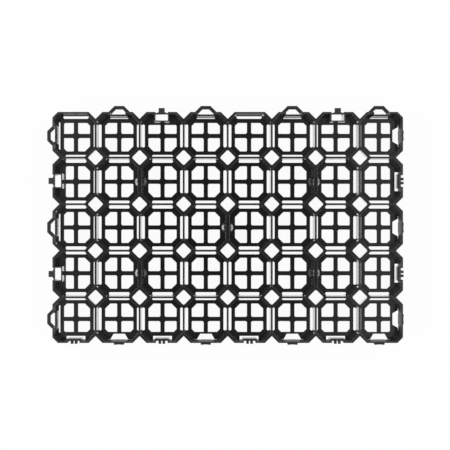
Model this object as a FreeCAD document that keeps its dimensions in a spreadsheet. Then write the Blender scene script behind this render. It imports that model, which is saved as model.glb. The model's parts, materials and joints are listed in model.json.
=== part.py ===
import FreeCAD, Part
import os
import re
import Sketcher
from dataclasses import dataclass

# One injection-moulded grass paver panel, in millimetres.
# The underside lies on z = 0, +X runs along the long side and +Y across it.
# The panel is a field of octagonal cells with a diamond well where four cells meet.
# Hook loops and snap clips stand on its north and west sides, their seats on the other two.

# The driving sizes: name, value and meaning.
SIZES = (
    # the field of cells
    ("cells_long", 8, "cells along the panel"),
    ("cells_wide", 5, "cells across the panel"),
    ("pitch_long", 75.0, "cell pitch along the panel"),
    ("pitch_wide", 79.3, "cell pitch across the panel"),
    ("height", 40.0, "underside to wall rims"),
    ("floor_thick", 4.0, "thickness of the base grating"),
    ("joint_gap", 1.6, "outer wall face inside the laying pitch"),
    ("corner_cut", 9.3, "leg of the cut at the panel's four corners"),
    # the walls
    ("wall", 3.2, "straight wall between two cells, at its rim"),
    ("edge_wall", 2.5, "outer wall, at its rim"),
    ("draft", 0.6, "draft of the cell walls, degrees"),
    ("diamond", 18.8, "side of the diamond well, at its rim"),
    ("diamond_draft", 4.0, "flare of the diamond well towards the underside, degrees"),
    ("ring", 4.8, "rim width round the diamond well"),
    # the base grating
    ("cross_bar", 7.4, "width of the cross bars"),
    ("nick", 1.9, "cut of a pane's corner at the cross and at the panel's own corners"),
    ("pane_long", 24.3, "cell centre to a pane's outer edge, along the panel"),
    ("pane_wide", 26.7, "cell centre to a pane's outer edge, across the panel"),
    ("pane_cut", 8.8, "cut of a pane's corner beside a diamond well"),
    ("notch_cut", 5.0, "cut of a pane's corner beside a notch of the outline"),
    ("north_pane", 22.5, "cell centre to pane edge, against the north side"),
    ("south_pane", 22.4, "cell centre to pane edge, against the south side"),
    ("west_pane", 20.6, "cell centre to pane edge, against the west side"),
    ("east_pane", 19.3, "cell centre to pane edge, against the east side"),
    ("slot_width", 4.85, "drain slot beside an inner wall"),
    ("slot_long", 35.8, "length of the drain slots that run along the panel"),
    ("slot_wide", 39.6, "length of the drain slots that run across the panel"),
    ("edge_slot_length", 43.5, "drain slot of a plain edge cell"),
    ("edge_slot_width", 4.5, "its width"),
    ("edge_slot_inset", 5.5, "its near edge, from the laying pitch"),
    ("edge_slot_cut", 1.8, "cut at its two far corners"),
    # the gate pads
    ("gate_columns", 2, "cells from the middle gate to an outer one, along the panel"),
    ("gate_rows", 1, "cells from the middle gate to an outer one, across the panel"),
    ("gate_wall", 6.8, "thick wall that carries a gate pad"),
    ("gate_margin", 1.0, "closed grating round where a gate's drain slots would be"),
    ("gate_foot", 20.0, "gate pad, diameter at the grating"),
    ("gate_head", 12.4, "gate pad, diameter at its top"),
    ("gate_rise", 1.8, "gate pad, height over the grating"),
    # the hook loops
    ("loop_reach", 12.3, "loop tip beyond the laying pitch"),
    ("loop_tip", 16.4, "width of the loop's straight tip"),
    ("loop_bar", 5.8, "width of the loop's bar"),
    ("loop_splay", 45.0, "turn of the loop's legs from its tip, degrees"),
    ("loop_thick", 5.0, "thickness of the loop"),
    ("niche_width", 26.0, "niche in the outer wall over a loop"),
    ("niche_depth", 5.8, "back of the niche, from the laying pitch"),
    ("niche_wall", 2.2, "wall behind and beside the niche"),
    ("north_slit_width", 1.4, "slit in the grating behind a north loop"),
    ("north_slit_length", 31.0, "its length"),
    ("north_slit_inset", 8.6, "its near edge, from the laying pitch"),
    ("west_slit_width", 2.4, "slit in the grating behind a west loop"),
    ("west_slit_length", 46.8, "its length"),
    ("west_slit_inset", 8.0, "its near edge, from the laying pitch"),
    # the hook seats
    ("seat_inset", 14.0, "inner edge of the seat opening, from the laying pitch"),
    ("seat_inner", 19.6, "seat opening, width at its inner edge"),
    ("seat_outer", 31.0, "seat opening, width at the outer wall"),
    ("hook_width", 17.6, "hook foot that drops through a loop"),
    ("hook_reach", 4.4, "hook foot beyond the laying pitch"),
    ("hook_height", 12.0, "height of the hook foot"),
    ("hook_hollow", 0.7, "hollow of the hook foot's front"),
    ("hook_cut", 1.0, "cut at the hook foot's two front corners"),
    ("pass_width", 38.4, "gap under the outer wall for the loop's two legs"),
    ("pass_height", 6.0, "its height"),
    # the snap clips
    ("pocket_width", 21.2, "clip pocket, width"),
    ("pocket_inset", 16.2, "back of the clip pocket, from the laying pitch"),
    ("pocket_wall", 2.2, "walls round the clip pocket"),
    ("ledge_end", 6.0, "end of the closed grating beside a clip pocket, from the cell boundary"),
    ("ledge_lap", 1.0, "closed grating under the back of a clip pocket"),
    ("clip_pane_wide", 19.0, "cell centre to pane edge behind a north clip"),
    ("clip_pane_long", 17.5, "cell centre to pane edge behind a west clip"),
    ("clip_reach", 5.0, "clip stem beyond the laying pitch"),
    ("clip_stem", 10.3, "width of the clip stem"),
    ("clip_bar", 2.6, "width of the spring bar behind the stem"),
    ("clip_bar_inset", 5.9, "back of the spring bar, from the laying pitch"),
    ("clip_gusset", 3.2, "leg of the gusset between bar and stem"),
    ("clip_deep", 6.0, "depth of the clip below the rim"),
    # the claw seats
    ("claw_width", 20.2, "recess of the outer wall at a claw seat"),
    ("claw_inset", 5.2, "face of the recess, from the laying pitch"),
    ("claw_wall", 2.9, "spring wall behind the recess"),
    ("claw_side", 2.2, "walls beside the recess"),
    ("tooth_width", 4.4, "width of a claw tooth"),
    ("tooth_gap", 2.4, "gap between the two teeth"),
    ("tooth_reach", 0.6, "teeth beyond the laying pitch"),
    ("tooth_top", 33.0, "top of the teeth"),
    ("tooth_tip", 29.0, "lower end of a tooth's straight front"),
    ("tooth_root", 20.0, "foot of the teeth on the spring wall"),
    ("relief_width", 2.2, "relief slot behind the spring wall"),
    ("relief_length", 32.6, "its length, end pads included"),
    ("relief_pad", 4.0, "width of its two turned ends"),
    ("relief_turn", 4.0, "how far its ends turn towards the outside"),
)

NAMES = {name for name, _, _ in SIZES}

# Formulas that more than one feature uses.
FIELD_LONG = "cells_long * pitch_long / 2"
FIELD_WIDE = "cells_wide * pitch_wide / 2"
FIRST_COLUMN = "pitch_long * (1 - cells_long) / 2"
FIRST_ROW = "pitch_wide * (1 - cells_wide) / 2"
LAST_COLUMN = "pitch_long * (cells_long - 1) / 2"
LAST_ROW = "pitch_wide * (cells_wide - 1) / 2"
RING_SUM = "pitch_long / 2 + pitch_wide / 2 - sqrt(2) * (diamond / 2 + ring)"
CORNER_SUM = "pitch_long / 2 + pitch_wide / 2 - 2 * joint_gap - corner_cut - sqrt(2) * edge_wall"
WALL_FOOT = "wall / 2 + (height - floor_thick) * tan(draft)"


def bound(formula):
    """A formula of plain size names, with each name pointed at its cell in the sheet."""
    return re.sub(r"[a-z_]+", lambda word: "Sizes." * (word.group() in NAMES) + word.group(), formula)


def minus(formula):
    """The negative of a formula."""
    return "-(" + formula + ")"


def fill_sheet(doc):
    """Write the driving sizes into the spreadsheet, each with its alias."""
    sheet = doc.addObject("Spreadsheet::Sheet", "Sizes")
    for row, (name, value, meaning) in enumerate(SIZES, start=1):
        sheet.set(f"A{row}", name)
        sheet.set(f"B{row}", str(value))
        sheet.set(f"C{row}", meaning)
        sheet.setAlias(f"B{row}", name)
    doc.recompute()


@dataclass(frozen=True)
class Site:
    """Where a feature stands: its first place, its turn about the vertical and its repeats."""

    x: str = "0"
    y: str = "0"
    turn: float = 0.0
    count_long: str = "1"
    step_long: str = "pitch_long"
    count_wide: str = "1"
    step_wide: str = "pitch_wide"


# A sketch that stands upright: its x points out of the panel's side and its y straight up.
UPRIGHT = FreeCAD.Rotation(FreeCAD.Vector(0, 1, 0), FreeCAD.Vector(0, 0, 1), FreeCAD.Vector(1, 0, 0), "XYZ")


def origin_feature(body, role):
    """An axis or plane of the body's own origin."""
    return next(item for item in body.Origin.OriginFeatures if item.Role == role)


def new_sketch(body, name, site, z="0", upright=False):
    """A sketch whose origin stands at the site's first place, level or upright."""
    sketch = body.newObject("Sketcher::SketchObject", name)
    sketch.AttachmentSupport = [(origin_feature(body, "XY_Plane"), "")]
    sketch.MapMode = "FlatFace"
    turn = FreeCAD.Rotation(site.turn, 0, 0)
    sketch.AttachmentOffset = FreeCAD.Placement(FreeCAD.Vector(), turn * UPRIGHT if upright else turn)
    for axis, formula in zip("xyz", (site.x, site.y, z)):
        sketch.setExpression(f"AttachmentOffset.Base.{axis}", bound(formula))
    return sketch


def pin(sketch, edge, point):
    """Hold the start of an edge at a point given as two formulas."""
    for kind, formula in zip(("DistanceX", "DistanceY"), point):
        value = float(sketch.evalExpression(bound(formula)))
        index = sketch.addConstraint(Sketcher.Constraint(kind, -1, 1, edge, 1, value))
        sketch.setExpression(f"Constraints[{index}]", bound(formula))


def polygon(sketch, points):
    """A closed run of straight edges through the points."""
    first = sketch.GeometryCount
    places = [
        FreeCAD.Vector(*(float(sketch.evalExpression(bound(formula))) for formula in point), 0)
        for point in points
    ]
    for start, end in zip(places, places[1:] + places[:1]):
        sketch.addGeometry(Part.LineSegment(start, end))
    count = len(points)
    for step in range(count):
        following = first + (step + 1) % count
        sketch.addConstraint(Sketcher.Constraint("Coincident", first + step, 2, following, 1))
    for step, point in enumerate(points):
        pin(sketch, first + step, point)


def rectangle(west, south, east, north):
    """The four corners of an upright rectangle."""
    return [(west, south), (east, south), (east, north), (west, north)]


def repeat(body, features, site):
    """Repeat features along and across the panel, or the body's whole shape if none is named."""
    if site.count_long == site.count_wide == "1":
        return
    pattern = body.newObject("PartDesign::LinearPattern", body.Name + "Pattern")
    pattern.TransformMode = "Features" if features else "Whole shape"
    pattern.Originals = features
    pattern.Direction = (origin_feature(body, "X_Axis"), [""])
    pattern.Mode = "Spacing"
    pattern.setExpression("Offset", bound(site.step_long))
    pattern.setExpression("Occurrences", bound(site.count_long))
    pattern.Direction2 = (origin_feature(body, "Y_Axis"), [""])
    pattern.Mode2 = "Spacing"
    pattern.Spacings2 = [-1.0]
    pattern.setExpression("Offset2", bound(site.step_wide))
    pattern.setExpression("Occurrences2", bound(site.count_wide))
    body.Tip = pattern


def lean(doc, body, pad, angle, outwards):
    """Lean the upright sides of a pad by a draft angle, with its top outline kept."""
    doc.recompute()
    slopes = {f"Face{number}": face.normalAt(0, 0).z for number, face in enumerate(pad.Shape.Faces, start=1)}
    level = 0.5
    draft = body.newObject("PartDesign::Draft", body.Name + "Draft")
    draft.Base = (pad, [face for face, slope in slopes.items() if abs(slope) < level])
    draft.NeutralPlane = (pad, [face for face, slope in slopes.items() if slope > level])
    draft.Reversed = not outwards
    draft.setExpression("Angle", bound(angle))


def prism(doc, name, site, outlines, bottom, top, angle="", outwards=False):
    """A body of upright prisms at every place of the site, drawn on their top level.

    An angle leans their sides inwards, or outwards, on the way down.
    """
    body = doc.addObject("PartDesign::Body", name)
    sketch = new_sketch(body, name + "Sketch", site, top)
    for outline in outlines:
        polygon(sketch, outline)
    pad = body.newObject("PartDesign::Pad", name + "Pad")
    pad.Profile = sketch
    pad.Reversed = True
    pad.setExpression("Length", bound(f"({top}) - ({bottom})"))
    if angle:
        lean(doc, body, pad, angle, outwards)
    repeat(body, [] if angle else [pad], site)
    return body


@dataclass(frozen=True)
class Band:
    """Cells that share a place between two opposite sides of the panel.

    The reaches run from the cell's centre to the wall faces and to the panes' outer edges.
    """

    name: str
    start: str
    count: str
    low_wall: str
    high_wall: str
    low_pane: str
    high_pane: str
    low_edge: bool = False
    high_edge: bool = False


INNER_LONG = "pitch_long / 2 - wall / 2"
INNER_WIDE = "pitch_wide / 2 - wall / 2"
EDGE_LONG = "pitch_long / 2 - joint_gap - edge_wall"
EDGE_WIDE = "pitch_wide / 2 - joint_gap - edge_wall"

COLUMNS = (
    Band("West", FIRST_COLUMN, "1", EDGE_LONG, INNER_LONG, "west_pane", "pane_long", low_edge=True),
    Band("Mid", FIRST_COLUMN + " + pitch_long", "cells_long - 2", INNER_LONG, INNER_LONG, "pane_long", "pane_long"),
    Band("East", LAST_COLUMN, "1", INNER_LONG, EDGE_LONG, "pane_long", "east_pane", high_edge=True),
)
ROWS = (
    Band("South", FIRST_ROW, "1", EDGE_WIDE, INNER_WIDE, "south_pane", "pane_wide", low_edge=True),
    Band("Mid", FIRST_ROW + " + pitch_wide", "cells_wide - 2", INNER_WIDE, INNER_WIDE, "pane_wide", "pane_wide"),
    Band("North", LAST_ROW, "1", INNER_WIDE, EDGE_WIDE, "pane_wide", "north_pane", high_edge=True),
)


def corners(column, row):
    """The four corners of a cell: signs, wall reaches, pane reaches and how many sides are outer."""
    for sign_x, wall_x, pane_x, edge_x in (
        (-1, column.low_wall, column.low_pane, column.low_edge),
        (1, column.high_wall, column.high_pane, column.high_edge),
    ):
        for sign_y, wall_y, pane_y, edge_y in (
            (-1, row.low_wall, row.low_pane, row.low_edge),
            (1, row.high_wall, row.high_pane, row.high_edge),
        ):
            yield sign_x, sign_y, wall_x, wall_y, pane_x, pane_y, edge_x + edge_y


@dataclass
class Work:
    """Bodies by what they do to the panel, in the order of their turns."""

    hollows: list
    added: list
    carved: list
    last: list
    windows: list
    closed: list


def make_block(doc):
    """The full outline of the panel, its four corners cut."""
    side, end = FIELD_LONG + " - joint_gap", FIELD_WIDE + " - joint_gap"
    short_side, short_end = side + " - corner_cut", end + " - corner_cut"
    outline = [
        (minus(short_side), minus(end)), (short_side, minus(end)),
        (side, minus(short_end)), (side, short_end),
        (short_side, end), (minus(short_side), end),
        (minus(side), short_end), (minus(side), minus(short_end)),
    ]
    return prism(doc, "Block", Site(), [outline], "0", "height")


def make_wells(doc):
    """The diamond wells between four cells, and their halves that notch the four sides."""
    tip = "diamond / sqrt(2)"
    outline = [(tip, "0"), ("0", tip), (minus(tip), "0"), ("0", minus(tip))]
    wells = Site(
        FIRST_COLUMN + " + pitch_long / 2", minus(FIELD_WIDE),
        count_long="cells_long - 1", count_wide="cells_wide + 1",
    )
    notches = Site(
        minus(FIELD_LONG), FIRST_ROW + " + pitch_wide / 2",
        count_long="2", step_long="cells_long * pitch_long", count_wide="cells_wide - 1",
    )
    return [
        prism(doc, "Wells", wells, [outline], "0", "height", "diamond_draft", outwards=True),
        prism(doc, "Notches", notches, [outline], "0", "height", "diamond_draft", outwards=True),
    ]


def make_cells(doc):
    """The hollows of the octagonal cells, drafted down to the grating."""
    cells = []
    for column in COLUMNS:
        for row in ROWS:
            points = {}
            for sign_x, sign_y, wall_x, wall_y, _, _, edges in corners(column, row):
                total = CORNER_SUM if edges == 2 else RING_SUM
                points[sign_x, sign_y] = (
                    (f"{sign_x} * ({wall_x})", f"{sign_y} * ({total} - ({wall_x}))"),
                    (f"{sign_x} * ({total} - ({wall_y}))", f"{sign_y} * ({wall_y})"),
                )
            outline = [*points[1, 1], *reversed(points[-1, 1]), *points[-1, -1], *reversed(points[1, -1])]
            site = Site(column.start, row.start, count_long=column.count, count_wide=row.count)
            name = f"Cells{column.name}{row.name}"
            cells.append(prism(doc, name, site, [outline], "floor_thick", "height", "draft"))
    return cells


def pane_outline(sign_x, sign_y, reach_x, reach_y, cut):
    """One pane of the grating, between the cross bars and the ring of the cell."""
    near, gusset = "cross_bar / 2", "cross_bar / 2 + nick"
    outline = (
        (gusset, near), (reach_x, near), (reach_x, f"{reach_y} - {cut}"),
        (f"{reach_x} - {cut}", reach_y), (near, reach_y), (near, gusset),
    )
    return [(f"{sign_x} * ({x})", f"{sign_y} * ({y})") for x, y in outline]


def make_panes(doc):
    """Four panes through the floor of each cell, with a cross of bars between them."""
    cuts = ("pane_cut", "notch_cut", "nick")
    panes = []
    for column in COLUMNS:
        for row in ROWS:
            outlines = [
                pane_outline(sign_x, sign_y, pane_x, pane_y, cuts[edges])
                for sign_x, sign_y, _, _, pane_x, pane_y, edges in corners(column, row)
            ]
            site = Site(column.start, row.start, count_long=column.count, count_wide=row.count)
            panes.append(prism(doc, f"Panes{column.name}{row.name}", site, outlines, "0", "floor_thick"))
    return panes


def slot_outlines(length):
    """Two drain slots, one at each foot of a straight wall that runs along x."""
    half, far = f"{length} / 2", f"{WALL_FOOT} + slot_width"
    return [
        rectangle(minus(half), WALL_FOOT, half, far),
        rectangle(minus(half), minus(far), half, minus(WALL_FOOT)),
    ]


def make_slots(doc):
    """Drain slots beside every inner wall, and one in each plain cell of the north side."""
    along = Site(
        FIRST_COLUMN, FIRST_ROW + " + pitch_wide / 2",
        count_long="cells_long", count_wide="cells_wide - 1",
    )
    across = Site(
        FIRST_COLUMN + " + pitch_long / 2", FIRST_ROW, turn=90,
        count_long="cells_long - 1", count_wide="cells_wide",
    )
    edge = Site(FIRST_COLUMN, FIELD_WIDE, count_long="2", step_long="4 * pitch_long")
    half, far = "edge_slot_length / 2", "-edge_slot_inset - edge_slot_width"
    plain = [
        (half, "-edge_slot_inset"), (minus(half), "-edge_slot_inset"), (minus(half), f"{far} + edge_slot_cut"),
        (f"edge_slot_cut - {half}", far), (f"{half} - edge_slot_cut", far), (half, f"{far} + edge_slot_cut"),
    ]
    return [
        prism(doc, "SlotsLong", along, slot_outlines("slot_long"), "0", "floor_thick"),
        prism(doc, "SlotsWide", across, slot_outlines("slot_wide"), "0", "floor_thick"),
        prism(doc, "SlotsEdge", edge, [plain], "0", "floor_thick"),
    ]


def make_gate(doc, work, name, site):
    """A thick wall on a closed stretch of grating, with the round pad of an injection gate."""
    half = "slot_wide / 2 + gate_margin"
    reach = f"{WALL_FOOT} + slot_width + gate_margin"
    pad = doc.addObject("PartDesign::Body", name + "Pad")
    cone = pad.newObject("PartDesign::AdditiveCone", name + "Cone")
    cone.AttachmentSupport = [(origin_feature(pad, "XY_Plane"), "")]
    cone.MapMode = "FlatFace"
    for path, formula in (
        ("Radius1", "gate_foot / 2"),
        ("Radius2", "gate_head / 2"),
        ("Height", "gate_rise"),
        ("AttachmentOffset.Base.x", site.x),
        ("AttachmentOffset.Base.y", site.y),
        ("AttachmentOffset.Base.z", "floor_thick"),
    ):
        cone.setExpression(path, bound(formula))
    repeat(pad, [cone], site)
    floor = rectangle(minus(reach), minus(half), reach, half)
    wall = rectangle("-gate_wall / 2", minus(half), "gate_wall / 2", half)
    work.added += [prism(doc, name + "Wall", site, [wall], "0", "height"), pad]
    work.closed.append(prism(doc, name + "Floor", site, [floor], "0", "floor_thick"))


def make_gates(doc, work):
    """Five gates: one at the centre of the panel and four round it."""
    long, wide = "gate_columns * pitch_long", "gate_rows * pitch_wide"
    outer = Site(minus(long), minus(wide), 0, "2", "2 * " + long, "2", "2 * " + wide)
    make_gate(doc, work, "GateMid", Site())
    make_gate(doc, work, "GateOuter", outer)


def make_loops(doc, work, name, site, side):
    """Low trapezoid loops in front of a niche of the outer wall, which take a hook foot."""
    inner_face = "-joint_gap - edge_wall"
    tip, root = "loop_tip / 2", f"loop_tip / 2 + (loop_reach - ({inner_face})) / tan(loop_splay)"
    plate = [(minus(root), inner_face), (root, inner_face), (tip, "loop_reach"), (minus(tip), "loop_reach")]
    block = rectangle(
        "-niche_width / 2 - niche_wall", "-niche_depth - niche_wall",
        "niche_width / 2 + niche_wall", inner_face,
    )
    niche = rectangle("-niche_width / 2", "-niche_depth", "niche_width / 2", "loop_reach")
    eye_tip, eye_top = "loop_tip / 2 - loop_bar * tan(loop_splay / 2)", "loop_reach - loop_bar"
    eye_side = "niche_width / 2"
    eye_turn = f"{eye_top} - ({eye_side} - ({eye_tip})) * tan(loop_splay)"
    eye = [
        (minus(eye_side), "-niche_depth"), (eye_side, "-niche_depth"), (eye_side, eye_turn),
        (eye_tip, eye_top), (minus(eye_tip), eye_top), (minus(eye_side), eye_turn),
    ]
    half, near = f"{side}_slit_length / 2", f"-{side}_slit_inset"
    slit = rectangle(minus(half), f"{near} - {side}_slit_width", half, near)
    work.added += [
        prism(doc, name + "Plate", site, [plate], "0", "loop_thick"),
        prism(doc, name + "Block", site, [block], "0", "height"),
    ]
    work.carved += [
        prism(doc, name + "Niche", site, [niche], "loop_thick", "height"),
        prism(doc, name + "Eye", site, [eye], "0", "loop_thick"),
    ]
    work.windows.append(prism(doc, name + "Slit", site, [slit], "0", "floor_thick"))


def make_seats(doc, work, name, site):
    """Trapezoid openings in the grating that a loop rises into, with a hook foot outside."""
    inner_face = "-joint_gap - edge_wall"
    opening = [
        ("-seat_outer / 2", inner_face), ("-seat_inner / 2", "-seat_inset"),
        ("seat_inner / 2", "-seat_inset"), ("seat_outer / 2", inner_face),
    ]
    legs = rectangle("-pass_width / 2", f"{inner_face} - height * tan(draft)", "pass_width / 2", "0")
    side = "hook_width / 2"
    foot = [
        (minus(side), inner_face), (side, inner_face), (side, "hook_reach - hook_cut"),
        (side + " - hook_cut", "hook_reach"), ("0", "hook_reach - hook_hollow"),
        ("hook_cut - " + side, "hook_reach"), (minus(side), "hook_reach - hook_cut"),
    ]
    work.windows.append(prism(doc, name + "Opening", site, [opening], "0", "floor_thick"))
    work.carved.append(prism(doc, name + "Legs", site, [legs], "0", "pass_height"))
    work.last.append(prism(doc, name + "Foot", site, [foot], "0", "hook_height"))


def make_clips(doc, work, name, site, pane_edge):
    """Snap clips: a stem on a spring bar at the rim, over a walled pocket open to below."""
    ledge_half = "pitch_long / 2 - ledge_end"
    ledge = rectangle(minus(ledge_half), pane_edge, ledge_half, "ledge_lap - pocket_inset")
    box = rectangle(
        "-pocket_width / 2 - pocket_wall", "-pocket_inset - pocket_wall",
        "pocket_width / 2 + pocket_wall", "-joint_gap - edge_wall",
    )
    hollow = rectangle("-pocket_width / 2", "-pocket_inset", "pocket_width / 2", "0")
    half, front, stem = "pocket_width / 2", "clip_bar - clip_bar_inset", "clip_stem / 2"
    gusset = f"{front} + clip_gusset / 2"
    clip = [
        (minus(half), "-clip_bar_inset"), (half, "-clip_bar_inset"), (half, front),
        (stem + " + clip_gusset", front), (stem, gusset), (stem, "clip_reach"),
        (minus(stem), "clip_reach"), (minus(stem), gusset), (minus(stem + " + clip_gusset"), front),
        (minus(half), front),
    ]
    work.closed.append(prism(doc, name + "Ledge", site, [ledge], "0", "floor_thick"))
    work.added.append(prism(doc, name + "Box", site, [box], "0", "height"))
    work.carved.append(prism(doc, name + "Hollow", site, [hollow], "0", "height"))
    work.last.append(prism(doc, name + "Stem", site, [clip], "height - clip_deep", "height"))


def make_claws(doc, work, name, site):
    """Claw seats: a recessed spring wall with two teeth, freed by a slot in the grating."""
    back = "-claw_inset - claw_wall"
    box = rectangle("-claw_width / 2 - claw_side", back, "claw_width / 2 + claw_side", "-joint_gap - edge_wall")
    recess = rectangle("-claw_width / 2", "-claw_inset", "claw_width / 2", "0")
    reach, shoulder = "relief_length / 2", "relief_length / 2 - relief_pad"
    turned, far = f"{back} + relief_turn", f"{back} - relief_width"
    relief = [
        (minus(reach), far), (reach, far), (reach, turned), (shoulder, turned), (shoulder, back),
        (minus(shoulder), back), (minus(shoulder), turned), (minus(reach), turned),
    ]
    work.added.append(prism(doc, name + "Box", site, [box], "0", "height"))
    work.carved.append(prism(doc, name + "Recess", site, [recess], "0", "height"))
    work.windows.append(prism(doc, name + "Relief", site, [relief], "0", "floor_thick"))
    work.last.append(teeth(doc, name + "Teeth", site))


def teeth(doc, name, site):
    """Two teeth side by side: flat on top, with a ramp under their straight fronts."""
    body = doc.addObject("PartDesign::Body", name)
    side = new_sketch(body, name + "Side", site, upright=True)
    polygon(side, [
        ("-claw_inset - claw_wall / 2", "tooth_root"), ("-claw_inset", "tooth_root"),
        ("tooth_reach", "tooth_tip"), ("tooth_reach", "tooth_top"),
        ("-claw_inset - claw_wall / 2", "tooth_top"),
    ])
    both = body.newObject("PartDesign::Pad", name + "Both")
    both.Profile = side
    both.Midplane = True
    both.setExpression("Length", bound("2 * tooth_width + tooth_gap"))
    between = new_sketch(body, name + "Between", site, "tooth_top")
    polygon(between, rectangle("-tooth_gap / 2", "-claw_inset", "tooth_gap / 2", "tooth_reach"))
    gap = body.newObject("PartDesign::Pocket", name + "Gap")
    gap.Profile = between
    gap.setExpression("Length", bound("tooth_top - tooth_root"))
    repeat(body, [both, gap], site)
    return body


def make_connectors(doc, work):
    """Loops and clips on the north and west sides, their seats on the south and east."""
    first, second, third = (FIRST_COLUMN + f" + {step} * pitch_long" for step in range(3))
    second_row = FIRST_ROW + " + pitch_wide"
    north, west = FIELD_WIDE, minus(FIELD_LONG)
    south, east = minus(FIELD_WIDE), FIELD_LONG
    every_other = {"count_long": "4", "step_long": "2 * pitch_long"}
    odd_rows = {"count_wide": "3", "step_wide": "2 * pitch_wide"}
    even_rows = {"count_wide": "2", "step_wide": "2 * pitch_wide"}
    make_loops(doc, work, "LoopNorth", Site(second, north, 0, **every_other), "north")
    make_loops(doc, work, "LoopWest", Site(west, FIRST_ROW, 90, **odd_rows), "west")
    make_seats(doc, work, "SeatSouth", Site(second, south, 180, **every_other))
    make_seats(doc, work, "SeatEast", Site(east, FIRST_ROW, -90, **odd_rows))
    fourth_apart = {"count_long": "2", "step_long": "4 * pitch_long"}
    make_clips(doc, work, "ClipNorth", Site(third, north, 0, **fourth_apart), "clip_pane_wide - pitch_wide / 2")
    make_clips(doc, work, "ClipWest", Site(west, second_row, 90, **even_rows), "clip_pane_long - pitch_long / 2")
    make_claws(doc, work, "ClawSouth", Site(first, south, 180, **every_other))
    make_claws(doc, work, "ClawEast", Site(east, second_row, -90, **even_rows))


def solids(bodies):
    """Every separate solid of a list of bodies."""
    return [solid for body in bodies for solid in body.Shape.Solids]


def opened(windows, closed):
    """The windows, less the stretches of grating that stay closed."""
    parts = []
    for window in solids(windows):
        masks = [mask for mask in closed if mask.BoundBox.intersect(window.BoundBox)]
        parts += window.cut(masks).Solids if masks else [window]
    return parts


def build_panel(doc):
    """The whole panel, centred by its outermost points."""
    block = make_block(doc)
    work = Work(make_wells(doc) + make_cells(doc), [], [], [], make_panes(doc) + make_slots(doc), [])
    make_gates(doc, work)
    make_connectors(doc, work)
    doc.recompute()
    shape = block.Shape.cut(solids(work.hollows))
    shape = shape.multiFuse(solids(work.added)).cut(solids(work.carved))
    shape = shape.multiFuse(solids(work.last)).cut(opened(work.windows, solids(work.closed)))
    panel = doc.addObject("Part::Feature", "Panel")
    panel.Label = "paver_grid"
    panel.Shape = shape
    panel.setExpression("Placement.Base.x", bound("(loop_reach - hook_reach) / 2"))
    panel.setExpression("Placement.Base.y", bound("(hook_reach - loop_reach) / 2"))
    doc.recompute()
    return panel


def check(doc, panel):
    """Stop on any failed object or an empty or broken solid."""
    for item in doc.Objects:
        if "Invalid" in item.State or "Error" in item.State:
            raise RuntimeError(f"{item.Label} failed: {item.State}")
    shape = panel.Shape
    if shape.isNull() or not shape.isValid() or len(shape.Solids) != 1:
        raise RuntimeError(f"{panel.Label} is not one valid solid")


def main():
    doc = FreeCAD.newDocument("GrassPaver")
    fill_sheet(doc)
    panel = build_panel(doc)
    check(doc, panel)
    os.makedirs("parts", exist_ok=True)
    panel.Shape.exportStep(f"parts/{panel.Label}.step")
    box = panel.Shape.BoundBox
    print(f"{panel.Label}: {box.XLength:.1f} x {box.YLength:.1f} x {box.ZLength:.1f} mm")
    print(f"volume {panel.Shape.Volume / 1000:.1f} cm3, {len(panel.Shape.Faces)} faces")


main()
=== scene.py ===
"""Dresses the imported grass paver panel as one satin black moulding, seen from above in soft light."""

from __future__ import annotations

import json
import logging
from dataclasses import dataclass
from enum import Enum

import bpy
import numpy as np
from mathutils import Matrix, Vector


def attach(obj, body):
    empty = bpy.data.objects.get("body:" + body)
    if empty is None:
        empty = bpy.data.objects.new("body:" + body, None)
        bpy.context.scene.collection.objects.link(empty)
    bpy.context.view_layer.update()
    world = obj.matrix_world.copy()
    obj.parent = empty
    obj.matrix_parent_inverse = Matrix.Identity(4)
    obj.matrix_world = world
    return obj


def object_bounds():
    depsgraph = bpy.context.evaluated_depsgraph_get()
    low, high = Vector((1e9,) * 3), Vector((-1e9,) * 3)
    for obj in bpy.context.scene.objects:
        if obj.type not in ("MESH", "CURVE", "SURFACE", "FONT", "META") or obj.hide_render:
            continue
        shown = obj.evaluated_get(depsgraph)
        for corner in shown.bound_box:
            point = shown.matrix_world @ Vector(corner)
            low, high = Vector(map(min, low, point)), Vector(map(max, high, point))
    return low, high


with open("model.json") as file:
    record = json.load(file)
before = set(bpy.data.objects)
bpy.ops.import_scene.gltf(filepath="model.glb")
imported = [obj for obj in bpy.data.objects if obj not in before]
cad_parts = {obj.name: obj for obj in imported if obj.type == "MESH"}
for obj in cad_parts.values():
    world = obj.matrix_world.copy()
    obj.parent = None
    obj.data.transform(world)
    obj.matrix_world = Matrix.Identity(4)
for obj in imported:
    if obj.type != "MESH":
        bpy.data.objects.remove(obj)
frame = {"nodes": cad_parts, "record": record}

CAD_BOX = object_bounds()
MM = 0.001
FRAME_PX = 450
DIAGONAL = np.sqrt(2)
BACKDROP = "#ffffff"
FULL_WHITE = 1.0
LOG = logging.getLogger("grass_paver")


class Panel(str, Enum):
    """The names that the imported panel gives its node, its body and its material slot."""

    NODE = "paver_grid"
    BODY = "root"
    SLOT = "black_plastic"


def linear(hex_colour: str) -> tuple[float, float, float, float]:
    """Turn an sRGB hex colour into linear light.

    Each channel c is c / 12.92 up to 0.04045, and ((c + 0.055) / 1.055) to the power 2.4 above it.

    Args:
        hex_colour: The colour as "#rrggbb".

    Returns:
        Linear red, green and blue, and an alpha of 1.
    """
    channels = np.array([int(hex_colour[i:i + 2], 16) for i in (1, 3, 5)]) / 255
    light = np.where(channels <= 0.04045, channels / 12.92, ((channels + 0.055) / 1.055) ** 2.4)
    return (*(float(value) for value in light), 1.0)


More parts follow.
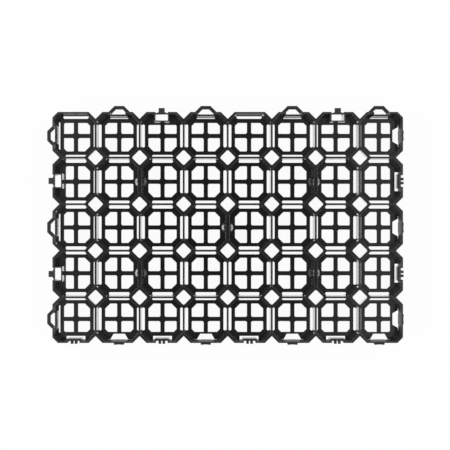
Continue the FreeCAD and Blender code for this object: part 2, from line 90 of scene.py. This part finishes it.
def add_node(
    tree: bpy.types.NodeTree, kind: str, settings: dict[str, object] | None = None,
    **inputs: float | tuple[float, ...] | bpy.types.NodeSocket,
) -> bpy.types.Node:
    """Add one shader node, set it up and link it.

    Args:
        tree: The node tree that takes the node.
        kind: The node's type, such as "ShaderNodeTexNoise".
        settings: Properties of the node itself.
        **inputs: A value, or an output socket to link, for each input, with "_" for a space in its name.
            A name that ends in a number, such as "a_0", means that input by its place.

    Returns:
        The new node.
    """
    node = tree.nodes.new(kind)
    for name, value in (settings or {}).items():
        setattr(node, name, value)
    for name, value in inputs.items():
        place = name.rsplit("_", 1)[-1]
        socket = node.inputs[int(place)] if place.isdigit() else node.inputs[name.replace("_", " ")]
        if isinstance(value, bpy.types.NodeSocket):
            tree.links.new(value, socket)
        else:
            socket.default_value = value
    return node


@dataclass(frozen=True)
class CellField:
    """Where the cells stand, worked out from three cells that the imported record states. Sizes are in mm.

    The three are given by column and row: one to start from, one further east in its row for the step in x,
    and one further south for the step in y.
    """

    columns: int = 8
    rows: int = 5
    start: tuple[int, int] = (2, 1)
    east: tuple[int, int] = (5, 1)
    south: tuple[int, int] = (4, 5)

    def centres(self) -> np.ndarray:
        """The cells' centres: one step in x for each column and one in y for each row, from the north-west.

        Returns:
            An array of rows, columns and x and y.
        """
        boxes = {opening["name"]: opening["box_m"] for opening in frame["record"]["physics"]["openings"]}
        start, east, south = (
            np.mean(boxes[f"cell_{column}_{row}"], axis=0)[:2] / MM
            for column, row in (self.start, self.east, self.south)
        )
        column, row = self.start
        step_x = (east - start)[0] / (self.east[0] - column)
        step_y = (south - start)[1] / (self.south[1] - row)
        x = start[0] + step_x * (np.arange(self.columns) + 1 - column)
        y = start[1] + step_y * (np.arange(self.rows) + 1 - row)
        return np.stack(np.meshgrid(x, y), axis=-1)

    def middle_and_half(self) -> tuple[np.ndarray, np.ndarray]:
        """The field's middle, and half its size: half of the steps between cells, and half a cell more.

        Returns:
            The middle and the half size, each as x and y.
        """
        cells = self.centres()
        first, last = cells[0, 0], cells[-1, -1]
        count = np.array([self.columns, self.rows])
        return (first + last) / 2, np.abs(last - first) / 2 * count / (count - 1)

    def walls_across(self) -> np.ndarray:
        """The middles of the inner walls that run across the panel: halfway between neighbours in a row."""
        cells = self.centres()
        return (cells[:, :-1] + cells[:, 1:]) / 2

    def walls_along(self) -> np.ndarray:
        """The middles of the inner walls that run along it: halfway between neighbours in a column."""
        cells = self.centres()
        return (cells[:-1] + cells[1:]) / 2

    def wells(self) -> np.ndarray:
        """The centres of the diamond wells: the mean of the four cells round each."""
        walls = self.walls_across()
        return (walls[:-1] + walls[1:]) / 2


@dataclass(frozen=True)
class Blotches:
    """One scale of unevenness in the surface, whose blotches are about size_mm across."""

    size_mm: float
    detail: float
    distortion: float

    def build(self, tree: bpy.types.NodeTree, place: bpy.types.NodeSocket) -> bpy.types.NodeSocket:
        """Add the noise: its scale is how many blotches there are to a metre.

        Args:
            tree: The node tree.
            place: The coordinates that it reads, in metres.

        Returns:
            The noise value.
        """
        return add_node(
            tree, "ShaderNodeTexNoise",
            Vector=place, Scale=1 / (self.size_mm * MM), Detail=self.detail, Distortion=self.distortion,
        ).outputs[0]


@dataclass(frozen=True)
class MouldedPolyethylene:
    """Black-filled recycled polyethylene, injection moulded in a spark-eroded steel mould.

    The carbon black leaves almost no body colour, so the eye reads the form from a broad satin sheen.
    The sheen wanders where the melt flowed, and the rims are rounded. Over it lies the glossier skin of
    pure resin that forms against the cold steel. The outer walls come off the mould's four slides, whose
    steel is eroded more coarsely, so they have less of that skin and mirror the floor less. The real grain
    is about 0.2 mm and the real rims are rounded by about 0.5 mm. Both are drawn coarser, so that they
    show.
    """

    name: str = "black_polyethylene_moulded"
    deep: str = "#0c0c0d"
    bloom: str = "#19191a"
    bloom_range: tuple[float, float] = (0.3, 0.75)
    satin: float = 0.12
    matt: float = 0.21
    matt_range: tuple[float, float] = (0.3, 0.7)
    ior: float = 1.57
    skin: float = 0.6
    skin_roughness: float = 0.06
    flow: Blotches = Blotches(38.0, detail=3.0, distortion=1.2)
    cloud: Blotches = Blotches(7.0, detail=4.0, distortion=0.3)
    cloud_share: float = 0.4
    ripple_height_mm: float = 0.04
    grain: Blotches = Blotches(1.1, detail=2.0, distortion=0.0)
    grain_height_mm: float = 0.012
    rim_radius_mm: float = 1.8
    rim_samples: int = 6
    slide_matt: float = 0.5
    slide_skin: float = 0.1
    slide_depth_mm: float = 6.5
    slide_blend_mm: float = 2.0
    cells: CellField = CellField()

    def build(self) -> bpy.types.Material:
        """Build the node material: flow clouds in colour and sheen, a skin, a fine grain and rounded rims.

        Returns:
            The material.
        """
        material = bpy.data.materials.new(self.name)
        material.use_nodes = True
        tree = material.node_tree
        tree.nodes.clear()
        place = add_node(tree, "ShaderNodeTexCoord").outputs["Object"]
        flow = self.flow.build(tree, place)
        cloud = self.cloud.build(tree, place)
        grain = self.grain.build(tree, place)
        blend = add_node(
            tree, "ShaderNodeMix", {"data_type": "FLOAT"}, Factor_0=self.cloud_share, A_2=flow, B_3=cloud
        ).outputs[0]
        outer = self._outer_walls(tree, place)
        colour = add_node(
            tree, "ShaderNodeMix", {"data_type": "RGBA"},
            Factor_0=self._stretch(tree, blend, self.bloom_range),
            A_6=linear(self.deep), B_7=linear(self.bloom),
        ).outputs[2]
        inner_roughness = self._stretch(tree, blend, self.matt_range, (self.satin, self.matt))
        roughness = add_node(
            tree, "ShaderNodeMix", {"data_type": "FLOAT"},
            Factor_0=outer, A_2=inner_roughness, B_3=self.slide_matt,
        ).outputs[0]
        rim = add_node(
            tree, "ShaderNodeBevel", {"samples": self.rim_samples}, Radius=self.rim_radius_mm * MM
        ).outputs[0]
        ripple = self._relief(tree, cloud, self.ripple_height_mm, rim)
        shader = add_node(
            tree, "ShaderNodeBsdfPrincipled",
            Base_Color=colour, Roughness=roughness, IOR=self.ior,
            Normal=self._relief(tree, grain, self.grain_height_mm, ripple),
            Coat_Weight=self._stretch(tree, outer, (0.0, 1.0), (self.skin, self.slide_skin)),
            Coat_Roughness=self.skin_roughness,
        )
        add_node(tree, "ShaderNodeOutputMaterial", Surface=shader.outputs[0])
        return material

    def _outer_walls(self, tree: bpy.types.NodeTree, place: bpy.types.NodeSocket) -> bpy.types.NodeSocket:
        """How far a point belongs to the outer walls: 0 inside, rising to 1 in the band that slides form.

        Args:
            tree: The node tree.
            place: The coordinates that it reads, in metres.

        Returns:
            The larger of the two shares, along and across the panel.
        """
        middle, half = self.cells.middle_and_half()
        parts = add_node(tree, "ShaderNodeSeparateXYZ", Vector=place)
        shares = []
        for axis, (centre, reach) in enumerate(zip(middle, half)):
            offset = add_node(
                tree, "ShaderNodeMath", {"operation": "SUBTRACT"}, a_0=parts.outputs[axis], b_1=centre * MM
            )
            distance = add_node(tree, "ShaderNodeMath", {"operation": "ABSOLUTE"}, a_0=offset.outputs[0])
            edge = (reach - self.slide_depth_mm) * MM
            shares.append(self._stretch(tree, distance.outputs[0], (edge, edge + self.slide_blend_mm * MM)))
        return add_node(
            tree, "ShaderNodeMath", {"operation": "MAXIMUM"}, a_0=shares[0], b_1=shares[1]
        ).outputs[0]

    def _stretch(
        self, tree: bpy.types.NodeTree, value: bpy.types.NodeSocket,
        source: tuple[float, float], target: tuple[float, float] = (0.0, 1.0),
    ) -> bpy.types.NodeSocket:
        """Stretch a part of a value's range over another range, and hold it at that range's ends.

        Args:
            tree: The node tree.
            value: The value.
            source: The part of its range.
            target: What that part becomes.

        Returns:
            The stretched value.
        """
        return add_node(
            tree, "ShaderNodeMapRange",
            Value=value, From_Min=source[0], From_Max=source[1], To_Min=target[0], To_Max=target[1],
        ).outputs[0]

    def _relief(
        self, tree: bpy.types.NodeTree, height: bpy.types.NodeSocket, height_mm: float,
        normal: bpy.types.NodeSocket,
    ) -> bpy.types.NodeSocket:
        """Lay a relief over a surface.

        Args:
            tree: The node tree.
            height: The relief as a value from 0 to 1.
            height_mm: How high a value of 1 stands.
            normal: The surface under it.

        Returns:
            The normal of the surface with the relief.
        """
        return add_node(
            tree, "ShaderNodeBump", Strength=1.0, Distance=height_mm * MM, Height=height, Normal=normal
        ).outputs[0]


@dataclass(frozen=True)
class CornerRounding:
    """Solid fillings that round the upright inner corners of one kind of opening.

    Each filling takes up the room between two sides of the opening and an arc that touches both.
    """

    name: str
    radius_mm: float
    steps: int = 6
    sunk_mm: float = 0.15
    skin_mm: float = 0.05

    def build(self, low: np.ndarray, high: np.ndarray, sides: np.ndarray) -> bpy.types.Object:
        """Build all the fillings as one mesh.

        In a corner's own axes, which run along its two sides, the arc is (r - r cos a, r - r sin a) for a
        from 0 to 90 degrees. The outline ends behind the corner, sunk a little into the solid. It is drawn
        at the corner's lower and upper end, a skin's depth inside them, and the two rings are joined.

        Args:
            low: The corners' lower ends, one row of x, y and z for each, in mm.
            high: Their upper ends.
            sides: For each corner the unit directions of its two sides, away from it.

        Returns:
            The piece.
        """
        turn = np.linspace(0, np.pi / 2, self.steps + 1)
        arc = self.radius_mm * (1 - np.stack([np.cos(turn), np.sin(turn)], axis=1))
        back = -self.sunk_mm
        outline = np.vstack([arc, [[self.radius_mm, back], [back, back], [back, self.radius_mm]]])
        handed = sides[:, 0, 0] * sides[:, 1, 1] - sides[:, 0, 1] * sides[:, 1, 0]
        sides = np.where((handed > 0)[:, None, None], sides[:, ::-1], sides)
        plan = np.zeros((len(low), len(outline), 3))
        plan[..., :2] = outline @ sides
        skin = np.array([0.0, 0.0, self.skin_mm])
        rings = np.concatenate([plan + (low + skin)[:, None], plan + (high - skin)[:, None]], axis=1)
        return self._mesh(rings * MM, len(outline))

    def _mesh(self, rings: np.ndarray, count: int) -> bpy.types.Object:
        """Join each pair of rings by walls and close it by two fans from the point behind the corner.

        That point is the last but one of a ring. Its fan's triangles each take the next two of the others.

        Args:
            rings: For each filling the points of its lower ring and then of its upper ring, in metres.
            count: How many points one ring has.

        Returns:
            The piece.
        """
        here = np.arange(count)
        after = (here + 1) % count
        walls = np.stack([here, after, after + count, here + count], axis=1)
        behind = here[-2]
        step = here[1:-1]
        lid = np.stack(
            [np.full(len(step), behind), (behind + step) % count, (behind + step + 1) % count], axis=1
        )
        first = (np.arange(len(rings)) * rings.shape[1])[:, None, None]
        faces = [
            *(first + walls).reshape(-1, 4).tolist(),
            *(first + lid + count).reshape(-1, 3).tolist(),
            *(first + lid[:, ::-1]).reshape(-1, 3).tolist(),
        ]
        mesh = bpy.data.meshes.new(self.name)
        mesh.from_pydata(rings.reshape(-1, 3).tolist(), [], faces)
        piece = bpy.data.objects.new(self.name, mesh)
        bpy.context.scene.collection.objects.link(piece)
        return piece


@dataclass(frozen=True)
class PaverPanel:
    """The one-piece panel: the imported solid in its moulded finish, and the roundings of its openings.

    The gates are the inner walls with a gate pad instead of slots, by row and wall, both counted from 0.
    """

    finish: MouldedPolyethylene = MouldedPolyethylene()
    cells: CellField = CellField()
    slot_corners: CornerRounding = CornerRounding("drain_slot_corners", 2.3)
    pane_corners: CornerRounding = CornerRounding("pane_corners", 1.6)
    well_corners: CornerRounding = CornerRounding("well_corners", 2.6)
    height_mm: float = 40.0
    floor_mm: float = 4.0
    wall_mm: float = 3.2
    draft_degrees: float = 0.6
    slot_width_mm: float = 4.85
    slot_along_mm: float = 35.8
    slot_across_mm: float = 39.6
    gates: tuple[tuple[int, int], ...] = ((1, 1), (3, 1), (2, 3), (1, 5), (3, 5))
    bar_mm: float = 7.4
    pane_mm: tuple[float, float] = (24.3, 26.7)
    well_mm: float = 18.8
    well_flare_degrees: float = 4.0

    def build(self) -> None:
        """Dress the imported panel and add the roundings."""
        material = self.finish.build()
        node = frame["nodes"][Panel.NODE.value]
        for slot in node.material_slots:
            slot.material = material
        LOG.info("%s wears %s", node.name, material.name)
        for piece in (self._round_slots(), self._round_panes(), self._round_wells()):
            piece.data.materials.append(material)
            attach(piece, Panel.BODY.value)
            LOG.info("%s: %d faces", piece.name, len(piece.data.polygons))

    def _round_slots(self) -> bpy.types.Object:
        """Round the ends of the drain slots, two at the foot of each inner wall without a gate pad.

        A slot starts where the drafted wall meets the base, and its ends are square to the wall.

        Returns:
            The piece.
        """
        foot = self.wall_mm / 2 + (self.height_mm - self.floor_mm) * np.tan(np.radians(self.draft_degrees))
        open_walls = np.ones((self.cells.rows, self.cells.columns - 1), dtype=bool)
        open_walls[tuple(np.transpose(self.gates))] = False
        spots, sides = [], []
        for middles, length, turned in (
            (self.cells.walls_along().reshape(-1, 2), self.slot_along_mm, False),
            (self.cells.walls_across()[open_walls], self.slot_across_mm, True),
        ):
            for end in (-1, 1):
                for bank in (-1, 1):
                    for reach, inward in ((foot, 1), (foot + self.slot_width_mm, -1)):
                        corner = np.array([end * length / 2, bank * reach])
                        pair = np.array([[-end, 0], [0, bank * inward]])
                        if turned:
                            corner, pair = corner[::-1], pair[:, ::-1]
                        spots.append(middles + corner)
                        sides.append(np.broadcast_to(pair, (len(middles), 2, 2)))
        return self._through_floor(self.slot_corners, spots, sides)

    def _round_panes(self) -> bpy.types.Object:
        """Round the panes' square corners, where the cross bars meet the ring along an inner wall.

        Returns:
            The piece.
        """
        cells = self.cells.centres()
        near = self.bar_mm / 2
        reach_x, reach_y = self.pane_mm
        spots, sides = [], []
        for east in (-1, 1):
            for north in (-1, 1):
                inner_x = cells[:, :-1] if east > 0 else cells[:, 1:]
                inner_y = cells[1:] if north > 0 else cells[:-1]
                for middles, corner, pair in (
                    (inner_x, (east * reach_x, north * near), ((-east, 0), (0, north))),
                    (inner_y, (east * near, north * reach_y), ((east, 0), (0, -north))),
                ):
                    middles = middles.reshape(-1, 2)
                    spots.append(middles + np.array(corner))
                    sides.append(np.broadcast_to(np.array(pair), (len(middles), 2, 2)))
        return self._through_floor(self.pane_corners, spots, sides)

    def _through_floor(
        self, rounding: CornerRounding, spots: list[np.ndarray], sides: list[np.ndarray]
    ) -> bpy.types.Object:
        """Build roundings that run upright through the base grating.

        Args:
            rounding: What makes them.
            spots: Arrays of corners, in x and y.
            sides: An array of pairs of directions for each of those.

        Returns:
            The piece.
        """
        plan = np.concatenate(spots)
        low = np.column_stack([plan, np.zeros(len(plan))])
        high = np.column_stack([plan, np.full(len(plan), self.floor_mm)])
        return rounding.build(low, high, np.concatenate(sides).astype(float))

    def _round_wells(self) -> bpy.types.Object:
        """Round the four tips of each diamond well, which move outwards towards the flared underside.

        A tip stands half a side times the square root of 2 from the well's centre.

        Returns:
            The piece.
        """
        middles = self.cells.wells().reshape(-1, 2)
        half_top = self.well_mm / 2
        half_foot = half_top + self.height_mm * np.tan(np.radians(self.well_flare_degrees))
        low, high, sides = [], [], []
        for tip in np.array([[1, 0], [0, 1], [-1, 0], [0, -1]]):
            across = tip[::-1]
            pair = np.array([-tip - across, -tip + across]) / DIAGONAL
            for ends, half, level in ((low, half_foot, 0.0), (high, half_top, self.height_mm)):
                plan = middles + tip * half * DIAGONAL
                ends.append(np.column_stack([plan, np.full(len(plan), level)]))
            sides.append(np.broadcast_to(pair, (len(middles), 2, 2)))
        return self.well_corners.build(np.concatenate(low), np.concatenate(high), np.concatenate(sides))


@dataclass(frozen=True)
class BackgroundPaper:
    """Matt white background paper off a roll.

    The light meets a pale sheet that takes the shadow. The camera and glossy surfaces see it near white,
    with a small share of that sheet. From below it is clear, so that the panel's underside can be looked at.
    """

    name: str = "matt_background_paper"
    colour: str = "#e9e9e9"
    shadow_share: float = 0.05

    def build(self) -> bpy.types.Material:
        """Build the node material.

        Returns:
            The material.
        """
        material = bpy.data.materials.new(self.name)
        material.use_nodes = True
        tree = material.node_tree
        tree.nodes.clear()
        sheet = add_node(tree, "ShaderNodeBsdfDiffuse", Color=linear(self.colour)).outputs[0]
        glow = add_node(
            tree, "ShaderNodeEmission", Color=linear(BACKDROP), Strength=FULL_WHITE
        ).outputs[0]
        path = add_node(tree, "ShaderNodeLightPath")
        seen = add_node(
            tree, "ShaderNodeMath", {"operation": "MAXIMUM"},
            a_0=path.outputs["Is Camera Ray"], b_1=path.outputs["Is Glossy Ray"],
        ).outputs[0]
        share = add_node(
            tree, "ShaderNodeMath", {"operation": "MULTIPLY"}, a_0=seen, b_1=1 - self.shadow_share
        ).outputs[0]
        above = add_node(tree, "ShaderNodeMixShader", Fac=share, a_1=sheet, b_2=glow).outputs[0]
        below = add_node(tree, "ShaderNodeNewGeometry").outputs["Backfacing"]
        clear = add_node(tree, "ShaderNodeBsdfTransparent").outputs[0]
        shown = add_node(tree, "ShaderNodeMixShader", Fac=below, a_1=above, b_2=clear).outputs[0]
        add_node(tree, "ShaderNodeOutputMaterial", Surface=shown)
        return material


@dataclass(frozen=True)
class LightTent:
    """A pale light tent, brighter near the floor, with a dark hole round the camera.

    The camera itself sees white. The skirt and the hole each end and begin at cosines of the angle from
    straight up.
    """

    roof: float = 0.55
    skirt: float = 1.1
    skirt_cosines: tuple[float, float] = (0.8, 0.55)
    hole: float = 0.08
    hole_cosines: tuple[float, float] = (0.998, 0.983)

    def build(self) -> None:
        """Build the tent as the scene's world."""
        world = bpy.data.worlds.new("studio")
        bpy.context.scene.world = world
        world.use_nodes = True
        tree = world.node_tree
        tree.nodes.clear()
        rays = add_node(tree, "ShaderNodeLightPath").outputs["Is Camera Ray"]
        direction = add_node(tree, "ShaderNodeTexCoord").outputs["Generated"]
        height = add_node(tree, "ShaderNodeSeparateXYZ", Vector=direction).outputs["Z"]
        cloth = self._step(tree, height, self.skirt_cosines, self.roof, self.skirt)
        tent = self._step(tree, height, self.hole_cosines, self.hole, cloth)
        strength = add_node(
            tree, "ShaderNodeMapRange", Value=rays, To_Min=tent, To_Max=FULL_WHITE
        ).outputs[0]
        sky = add_node(tree, "ShaderNodeBackground", Color=linear(BACKDROP), Strength=strength)
        add_node(tree, "ShaderNodeOutputWorld", Surface=sky.outputs[0])

    def _step(
        self, tree: bpy.types.NodeTree, height: bpy.types.NodeSocket, cosines: tuple[float, float],
        above: float, below: float | bpy.types.NodeSocket,
    ) -> bpy.types.NodeSocket:
        """A soft step in the tent's brightness.

        Args:
            tree: The node tree.
            height: The cosine of the angle between a direction and straight up.
            cosines: Where the step ends and where it begins.
            above: The brightness nearer to straight up.
            below: The brightness under the step.

        Returns:
            The brightness.
        """
        end, begin = cosines
        return add_node(
            tree, "ShaderNodeMapRange", {"interpolation_type": "SMOOTHSTEP"},
            Value=height, From_Min=begin, From_Max=end, To_Min=below, To_Max=above,
        ).outputs[0]


@dataclass(frozen=True)
class Lamp:
    """One soft rectangular lamp, its place and size in metres."""

    name: str
    place: tuple[float, float, float]
    size: tuple[float, float]
    watts: float

    def hang(self, target: Vector) -> None:
        """Hang the lamp.

        Args:
            target: The point that it faces.
        """
        light = bpy.data.lights.new(self.name, "AREA")
        light.shape = "RECTANGLE"
        light.size, light.size_y = self.size
        light.energy = self.watts
        lamp = bpy.data.objects.new(self.name, light)
        lamp.location = self.place
        lamp.rotation_euler = (target - lamp.location).to_track_quat("-Z", "Y").to_euler()
        bpy.context.scene.collection.objects.link(lamp)


@dataclass(frozen=True)
class Studio:
    """A pale floor, a light tent, two soft lamps and a camera straight above, a little left of the middle.

    The floor's side and how far the camera sees are in metres, its shift in pixels of the picture.
    """

    paper: BackgroundPaper = BackgroundPaper()
    floor_side: float = 8.0
    floor_gap_mm: float = 0.2
    tent: LightTent = LightTent()
    lamps: tuple[Lamp, ...] = (
        Lamp("left_softbox", (-1.65, 0.0, 1.3), (2.2, 0.4), 18.0),
        Lamp("right_softbox", (1.65, 0.0, 1.3), (2.2, 0.4), 13.0),
    )
    eye_mm: tuple[float, float, float] = (-24.0, -5.9, 1995.0)
    lens_mm: float = 91.9
    sensor_mm: float = 36.0
    shift_px: tuple[float, float] = (13.7, 3.6)
    sight: float = 100.0

    def build(self) -> None:
        """Set up the floor, the tent, the lamps and the camera."""
        self._floor()
        self.tent.build()
        for lamp in self.lamps:
            lamp.hang(Vector((0.0, 0.0, 0.0)))
        self._camera()
        bpy.context.scene.view_settings.view_transform = "Standard"

    def _floor(self) -> None:
        """A level sheet of paper a hair under the panel, so that the two share no plane."""
        half = self.floor_side / 2
        corners = [(-half, -half, 0), (half, -half, 0), (half, half, 0), (-half, half, 0)]
        mesh = bpy.data.meshes.new("floor")
        mesh.from_pydata(corners, [], [(0, 1, 2, 3)])
        mesh.materials.append(self.paper.build())
        floor = bpy.data.objects.new("floor", mesh)
        floor.location.z = CAD_BOX[0].z - self.floor_gap_mm * MM
        bpy.context.scene.collection.objects.link(floor)

    def _camera(self) -> None:
        """A long lens far above the panel, its axis upright."""
        data = bpy.data.cameras.new("camera")
        data.lens, data.sensor_width = self.lens_mm, self.sensor_mm
        data.shift_x, data.shift_y = (pixels / FRAME_PX for pixels in self.shift_px)
        data.clip_end = self.sight
        camera = bpy.data.objects.new("camera", data)
        camera.location = [value * MM for value in self.eye_mm]
        bpy.context.scene.collection.objects.link(camera)
        bpy.context.scene.camera = camera


def main() -> None:
    """Dress the panel and build the studio."""
    logging.basicConfig(level=logging.INFO, format="%(name)s: %(message)s")
    PaverPanel().build()
    Studio().build()


if __name__ == "__main__":
    main()
